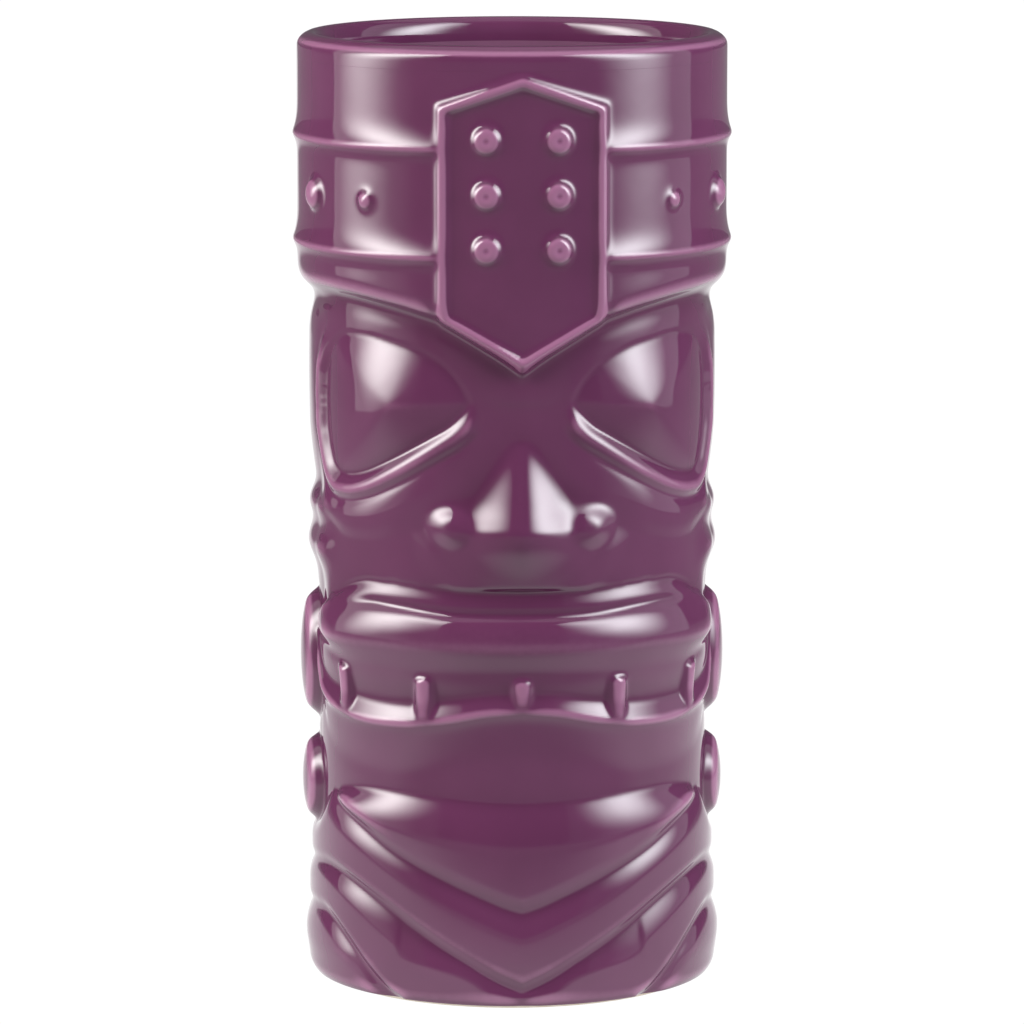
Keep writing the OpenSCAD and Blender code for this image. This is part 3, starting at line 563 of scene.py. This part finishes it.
def meshPiece(name, points, faces, pointNormals, values):
    mesh = bpy.data.meshes.new(name)
    mesh.vertices.add(len(points))
    mesh.vertices.foreach_set("co", points.astype(np.float32).ravel())
    mesh.loops.add(faces.size)
    mesh.loops.foreach_set("vertex_index", faces.astype(np.int32).ravel())
    mesh.polygons.add(len(faces))
    mesh.polygons.foreach_set("loop_start", np.arange(0, faces.size, 4, dtype=np.int32))
    mesh.update(calc_edges=True)
    mesh.validate()
    mesh.polygons.foreach_set("use_smooth", np.ones(len(mesh.polygons), bool))
    for key, value in values.items():
        mesh.attributes.new(key, "FLOAT", "POINT").data.foreach_set("value", value.astype(np.float32))
    if pointNormals is not None:
        mesh.normals_split_custom_set_from_vertices(pointNormals.astype(np.float32).tolist())
    piece = bpy.data.objects.new(name, mesh)
    bpy.context.collection.objects.link(piece)
    return piece


def closedPatch(name, mask):
    # the cells of one piece: carved outside, seat on the wall inside, and walls round the border
    rows, cols = np.nonzero(mask)
    here, above = rows * around, (rows + 1) * around
    nextCols = (cols + 1) % around
    corners = np.stack([here + cols, here + nextCols, above + nextCols, above + cols], 1)
    used, cells = np.unique(corners, return_inverse=True)
    cells = cells.reshape(corners.shape)
    count = len(used)
    starts, ends = cells.ravel(), np.roll(cells, -1, axis=1).ravel()
    border = ~np.isin(starts * count + ends, ends * count + starts)
    walls = np.stack([ends[border], starts[border], starts[border] + count, ends[border] + count], 1)
    faces = np.concatenate([cells, cells[:, ::-1] + count, walls])
    points = np.concatenate([outerPoints[used], innerPoints[used]])
    pointNormals = np.concatenate([normals.reshape(-1, 3)[used], -outward.reshape(-1, 3)[used]])
    values = {key: np.tile(value[used], 2) for key, value in pointValues.items()}
    return meshPiece(name, points, faces, pointNormals, values)


def lathe(name, profile, turns=240, values=None):
    # a closed ring from a closed outline of (radius, height) points
    r, z = np.array(profile, float).T
    n = len(profile)
    t = np.arange(turns) * 2 * math.pi / turns
    rings = np.stack([np.outer(np.sin(t), r), -np.outer(np.cos(t), r), np.tile(z, (turns, 1))], -1)
    i, j = np.meshgrid(np.arange(turns), np.arange(n), indexing="ij")
    here, following, beyond = i * n, (i + 1) % turns * n, (j + 1) % n
    faces = np.stack([here + j, following + j, following + beyond, here + beyond], -1).reshape(-1, 4)
    fields = {key: np.tile(value, turns) for key, value in (values or {}).items()}
    return meshPiece(name, rings.reshape(-1, 3) * 0.001, faces, None, fields)


class Wire:
    # a socket that adds Math nodes when it is summed or scaled
    def __init__(self, paint, socket):
        self.paint, self.socket = paint, socket

    def maths(self, operation, *others):
        return self.paint.add("ShaderNodeMath", {"operation": operation}, dict(enumerate((self,) + others)))

    def __add__(self, other):
        return self.maths("ADD", other)

    def __mul__(self, other):
        return self.maths("MULTIPLY", other)

    def __sub__(self, other):
        return self.maths("SUBTRACT", other)

    def __rsub__(self, other):
        return self.paint.add("ShaderNodeMath", {"operation": "SUBTRACT"}, {0: other, 1: self})

    __radd__, __rmul__ = __add__, __mul__

    def between(self, low, high):
        settings = {"interpolation_type": "SMOOTHSTEP", "clamp": True}
        return self.paint.add("ShaderNodeMapRange", settings, {"Value": self, "From Min": low, "From Max": high})


class Paint:
    # a material under construction
    def __init__(self, name):
        self.material = bpy.data.materials.new(name)
        self.material.use_nodes = True
        self.tree = self.material.node_tree
        self.shader = self.tree.nodes["Principled BSDF"]

    def add(self, kind, settings=None, inputs=None, out=0):
        node = self.tree.nodes.new(kind)
        for key, value in (settings or {}).items():
            setattr(node, key, value)
        self.feed(node, inputs or {})
        return Wire(self, node.outputs[out])

    def feed(self, node, inputs):
        for key, value in inputs.items():
            if isinstance(value, Wire):
                self.tree.links.new(value.socket, node.inputs[key])
            else:
                node.inputs[key].default_value = value

    def mix(self, share, first, second):
        return self.add("ShaderNodeMix", {"data_type": "RGBA"}, {0: share, 6: first, 7: second}, 2)

    def attribute(self, name):
        return self.add("ShaderNodeAttribute", {"attribute_name": name}, out="Fac")

    def here(self, axis=None):
        # a place on the object itself, or one coordinate of it
        place = self.add("ShaderNodeTexCoord", out="Object")
        return self.add("ShaderNodeSeparateXYZ", {}, {0: place}, out=axis) if axis else place

    def noise(self, scale, detail=3.0, roughness=0.5):
        inputs = {"Vector": self.here(), "Scale": scale, "Detail": detail, "Roughness": roughness}
        return self.add("ShaderNodeTexNoise", {}, inputs)

    def bumps(self, height, strength, distance):
        return self.add("ShaderNodeBump", {}, {"Height": height, "Strength": strength, "Distance": distance})

    def surface(self, sockets):
        self.feed(self.shader, sockets)
        return self.material

    def glowing(self, colour, strength, sockets=None):
        matte = {"Base Color": (0, 0, 0, 1), "Specular IOR Level": 0.0}
        return self.surface({**matte, **(sockets or {}), "Emission Color": colour, "Emission Strength": strength})


black, plainWhite = (0, 0, 0, 1), (1, 1, 1, 1)

glazeLook = {
    "body": (0.108, 0.0245, 0.074, 1),
    "pooled": (0.070, 0.0135, 0.045, 1),
    "broken": (0.30, 0.125, 0.225, 1),
    "clouds": 0.35,       # how far the body drifts towards the pooled colour
    "pooling": 0.75,
    "wear": 0.85,
    "roughness": 0.055,
    "waviness": 0.05,
}


def glazeMaterial(name, breaks=True):
    paint = Paint(name)
    cloud = paint.noise(55, 4)
    specks = paint.noise(900, 2)
    drift = cloud.between(0.3, 0.75) * glazeLook["clouds"]
    colour = paint.mix(drift, glazeLook["body"], glazeLook["pooled"])
    if breaks:
        hollow = (0 - paint.attribute("broad")).between(0.05, 0.9)
        colour = paint.mix(hollow * glazeLook["pooling"], colour, glazeLook["pooled"])
        worn = (paint.attribute("fine") + specks * 0.03 - 0.015).between(0.1, 0.33)
        colour = paint.mix(worn * glazeLook["wear"], colour, glazeLook["broken"])
    waves = paint.bumps(paint.noise(140, 2), glazeLook["waviness"], 0.0006)
    rough = cloud * 0.04 + (glazeLook["roughness"] - 0.02)
    return paint.surface({
        "Base Color": colour, "Roughness": rough, "Normal": waves, "IOR": 1.6, "Specular IOR Level": 0.5})


clayLook = {"dark": (0.62, 0.53, 0.43, 1), "light": (0.74, 0.66, 0.56, 1), "stain": (0.5, 0.38, 0.32, 1),
            "roughness": 0.78, "grain": 0.35}


def clayMaterial():
    paint = Paint("bareClay")
    grain = paint.noise(420, 5, 0.7)
    colour = paint.mix(grain.between(0.35, 0.7), clayLook["dark"], clayLook["light"])
    colour = paint.mix(paint.noise(60, 3).between(0.5, 0.8) * 0.4, colour, clayLook["stain"])
    return paint.surface({
        "Base Color": colour, "Roughness": clayLook["roughness"] + grain * 0.12,
        "Normal": paint.bumps(grain, clayLook["grain"], 0.0002)})


glaze = glazeMaterial("purpleGlaze")
plainGlaze = glazeMaterial("pooledGlaze", breaks=False)
clay = clayMaterial()
print("materials made")


def settle(piece, material, node):
    piece.data.materials.append(material)
    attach(piece, "root")
    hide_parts(node)


# the CAD node of each carved piece is its name in small letters, and the back of the head has two pieces
for name in sorted(set(cellLabels.ravel())):
    node = "".join("_" + c.lower() if c.isupper() else c for c in name)
    if name.startswith("headBack"):
        node = "head_back"
    settle(closedPatch(name, cellLabels == name), glaze, node)
print("carved pieces made")


rimLook = {
    "outer": 35.38, "inner": 31.2,
    "seam": 0.03,    # a loop this close to the crown keeps the gloss even over the join
    # over the top, from outside to inside: radius, height, and how far the glaze is worn
    "crest": ((35.38, 154.4, 0), (35.36, 154.9, 0.03), (35.3, 155.3, 0.14), (35.14, 155.66, 0.3),
              (34.88, 156.02, 0.28), (34.5, 156.38, 0.12), (34.0, 156.7, 0.04), (33.4, 156.93, 0.02),
              (32.9, 157.0, 0.02), (32.4, 156.9, 0.04), (32.0, 156.62, 0.1), (31.65, 156.15, 0.1),
              (31.4, 155.5, 0.02), (31.25, 154.8, 0), (31.2, 154.0, 0)),
}


def scaled(outline):
    return [(r * radiusScale, z * heightScale) for r, z in outline]


def makeRim():
    outer, inner, seam = rimLook["outer"], rimLook["inner"], rimZ + rimLook["seam"]
    section = [(outer, rimZ, 0), (outer, seam, 0), *rimLook["crest"], (inner, seam, 0), (inner, rimZ, 0)]
    worn = np.array([wear for r, z, wear in section])
    outline = scaled((r, z) for r, z, wear in section)
    return lathe("rim", outline, values={"fine": worn, "broad": np.zeros(len(worn))})


settle(makeRim(), glaze, "rim")

lining = {"thickness": 0.38, "floor": 5.8, "low": 29.05, "top": 31.2, "corner": 6}


def makeLining():
    low, top, floorZ, corner = lining["low"], lining["top"], lining["floor"], lining["corner"]
    thick = lining["thickness"]
    wall = curve((floorZ + corner, low), (60, low), (110, low), (113, low + 0.12), (119, (low + top) / 2),
                 (125, top - 0.1), (128, top), (rimZ, top))
    heights = np.concatenate([[rimZ, 140], np.linspace(128, 110, 14), [80, 40, 20], [floorZ + corner]])
    turns = np.linspace(0.15, math.pi / 2, 9)
    bend = [(low - corner + corner * math.cos(t), floorZ + corner - corner * math.sin(t)) for t in turns]
    inside = [(float(wall(h)), float(h)) for h in heights] + bend + [(12, floorZ), (0.02, floorZ)]
    outside = [(0.02, floorZ - thick), (low - corner, floorZ - thick)]
    outside += [(r + thick * math.cos(t), z - thick * math.sin(t)) for (r, z), t in list(zip(bend, turns))[-2::-1]]
    outside += [(float(wall(h)) + thick, float(h)) for h in heights[::-1]]
    return lathe("innerGlaze", scaled(outside + inside))


settle(makeLining(), plainGlaze, "inner_glaze")

for node in ("cup_wall", "cup_floor", "foot_ring"):
    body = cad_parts[node]
    body.data.materials.clear()
    body.data.materials.append(clay)
print("rim, lining and foot made")


stageLook = {
    "floorSize": 16.0, "sweep": 1.03, "table": 0.27, "tableColour": (0.1, 0.1, 0.1, 1),
    "room": (0.13, 0.13, 0.135, 1),
}


def addPlane(name, size):
    bpy.ops.mesh.primitive_plane_add(size=size)
    bpy.context.object.name = name
    return bpy.context.object


floor = addPlane("floor", stageLook["floorSize"])
bpy.ops.mesh.primitive_uv_sphere_add(segments=48, ring_count=24, radius=stageLook["floorSize"] * 0.6)
backdrop = bpy.context.object
backdrop.name = "backdrop"
white = Paint("paleFloor").glowing(plainWhite, stageLook["sweep"])
for pale in (floor, backdrop):
    # the plain white that is looked at; the table below is what lights and mirrors see
    pale.data.materials.append(white)
    pale.visible_diffuse = pale.visible_glossy = pale.visible_transmission = pale.visible_shadow = False

table = addPlane("table", stageLook["floorSize"])
tablePaint = Paint("greyTable")
wide = tablePaint.here("X").maths("ABSOLUTE")
back = tablePaint.here("Y")
# it is lighter straight behind the mug
# the table's glow is painted light: a painted pool of light straight behind the mug, and a dimmer painted glow over
# the rest of the table
behind = back.between(-0.12, -0.05) * (1 - (wide - back * 0.1).between(0.11, 0.3))
paintedTableGlow = behind * (stageLook["sweep"] - stageLook["table"]) + stageLook["table"]
tableSockets = {"Base Color": stageLook["tableColour"], "Roughness": 0.9}
table.data.materials.append(tablePaint.glowing(tablePaint.mix(paintedTableGlow, black, plainWhite), 1.0, tableSockets))
table.visible_camera = False

world = bpy.data.worlds.new("room")
bpy.context.scene.world = world
world.use_nodes = True
world.node_tree.nodes["Background"].inputs["Color"].default_value = stageLook["room"]

softboxes = {
    # turn round the mug, distance, width, height, glow of the cloth and where across it fades in, then the hot
    # middle: its glow, width, place across and lean, height off the floor, and how far it fades down and up
    "leftBox": {
        "turn": -76, "far": 0.55, "width": 0.74, "height": 0.85, "cloth": 1.3, "fade": (-0.38, 0.15), "middle": 14.5,
        "spread": 0.165, "at": -0.02, "lean": -0.7, "high": 0.3, "down": 0.195, "up": 0.5,
        "tint": (1, 0.985, 0.965, 1)},
    "rightBox": {
        "turn": 66, "far": 0.55, "width": 0.9, "height": 0.85, "cloth": 0.95, "fade": (0.44, -0.1), "middle": 13.0,
        "spread": 0.17, "at": 0.05, "lean": 0.43, "high": 0.3, "down": 0.178, "up": 0.5,
        "tint": (0.95, 0.975, 1, 1)},
    "overhead": {
        "turn": 0, "far": 1.3, "width": 1.6, "height": 1.6, "cloth": 0.7, "fade": (-3, -2), "middle": 0.7,
        "spread": 1.0, "at": 0.0, "lean": 0.0, "high": 0.8, "down": 1.0, "up": 1.0,
        "tint": (1, 1, 1, 1)},
}


def softbox(name, look):
    # a cloth panel, brightest in its middle, that only lights and reflects
    panel = addPlane(name, 1)
    t = math.radians(look["turn"])
    panel.scale = (look["width"], look["height"], 1)
    if name == "overhead":
        panel.location = (0, 0.1, look["far"])
        panel.rotation_euler = (math.pi, 0, 0)
    else:
        panel.location = (look["far"] * math.sin(t), -look["far"] * math.cos(t), look["height"] / 2)
        panel.rotation_euler = (math.pi / 2, 0, t + math.pi)
    bpy.ops.object.transform_apply(location=False, rotation=False, scale=True)
    paint = Paint(name + "Cloth")
    across = paint.here("X")
    upward = paint.here("Y") - (look["high"] - look["height"] / 2)
    u = (across - look["at"] - upward * look["lean"]) * (1 / look["spread"])
    v = upward.maths("MAXIMUM", 0.0) * (1 / look["up"]) + upward.maths("MINIMUM", 0.0) * (1 / look["down"])
    glow = paint.add("ShaderNodeMath", {"operation": "POWER"}, {0: 2.718, 1: 0 - (u * u + v * v)})
    veil = across.between(*look["fade"]) * (look["cloth"] / look["middle"])
    share = glow.maths("MAXIMUM", veil).maths("MAXIMUM", stageLook["table"] / look["middle"])
    panel.data.materials.append(paint.glowing(paint.mix(share, black, look["tint"]), look["middle"]))
    panel.visible_camera = False


for name, look in softboxes.items():
    softbox(name, look)

cameraLook = {"far": 1.0, "high": 0.2308, "turn": -2.8, "pitch": 8.74, "lens": 214.2, "sensor": 36}
camera = bpy.data.cameras.new("camera")
camera.lens = cameraLook["lens"]
camera.sensor_width = cameraLook["sensor"]
cameraObject = bpy.data.objects.new("camera", camera)
bpy.context.collection.objects.link(cameraObject)
turn, far = math.radians(cameraLook["turn"]), cameraLook["far"]
cameraObject.location = (far * math.sin(turn), -far * math.cos(turn), cameraLook["high"])
cameraObject.rotation_euler = (math.radians(90 - cameraLook["pitch"]), 0, turn)
bpy.context.scene.camera = cameraObject
bpy.context.scene.view_settings.view_transform = "Standard"
print("stage made")
